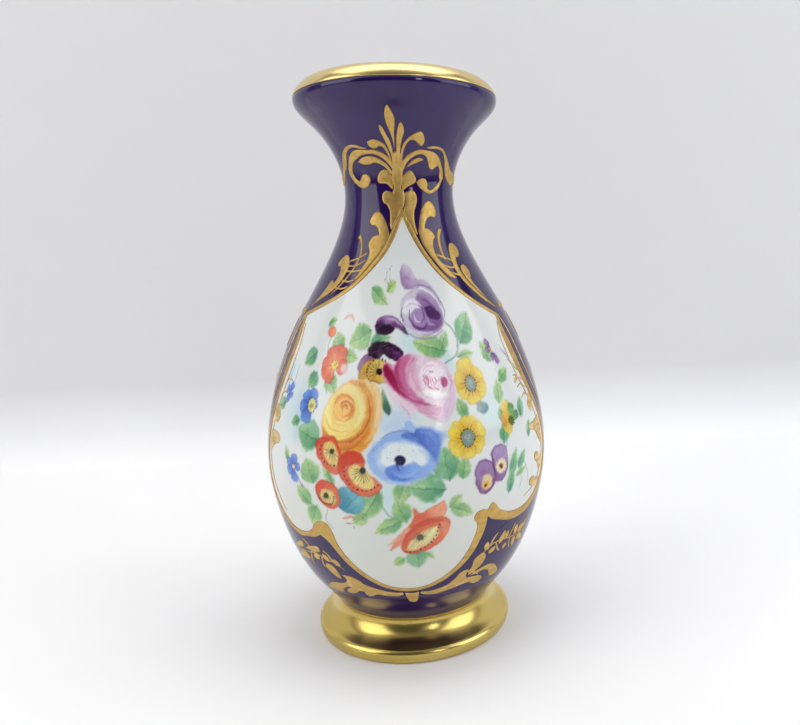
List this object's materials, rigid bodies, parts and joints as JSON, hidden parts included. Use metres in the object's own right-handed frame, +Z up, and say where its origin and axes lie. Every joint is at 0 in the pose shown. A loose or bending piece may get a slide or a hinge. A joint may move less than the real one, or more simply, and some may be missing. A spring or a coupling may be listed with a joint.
{
  "type": "porcelain vase",
  "caption": "Footed baluster vase with a flared rolled lip, cobalt ground, two white floral panels in gilt scroll frames and a gilt foot.",
  "frame": {"origin": "middle of the foot ring's resting plane", "axes": "+Z up along the vase's axis, -Y towards the front panel, +X to the right seen from the front"},
  "size_m": [0.103, 0.103, 0.2],
  "materials": {
    "porcelain": "glazed white porcelain",
    "slip": "fired slip, matte",
    "cobalt_glaze": "high gloss glaze",
    "white_glaze": "high gloss glaze",
    "burnished_gold": "burnished gold",
    "raised_gold": "semi-matte raised gold",
    "enamel": "gloss overglaze enamel"
  },
  "bodies": {
    "root": {"body": "porcelain", "foot": "porcelain", "luting_slip": "slip", "cobalt_ground": "cobalt_glaze", "reserve_front": "white_glaze", "reserve_back": "white_glaze", "rim_gilding": "burnished_gold", "foot_gilding": "burnished_gold", "gilt_frame_front": "raised_gold", "gilt_frame_back": "raised_gold", "gilt_crest_front": "raised_gold", "gilt_crest_back": "raised_gold", "gilt_scrolls_front": "raised_gold", "gilt_scrolls_back": "raised_gold", "gilt_base_front": "raised_gold", "gilt_base_back": "raised_gold", "gilt_side_right": "raised_gold", "gilt_side_left": "raised_gold", "enamel_bouquet_front": "enamel", "enamel_bouquet_back": "enamel"}
  },
  "joints": []
}
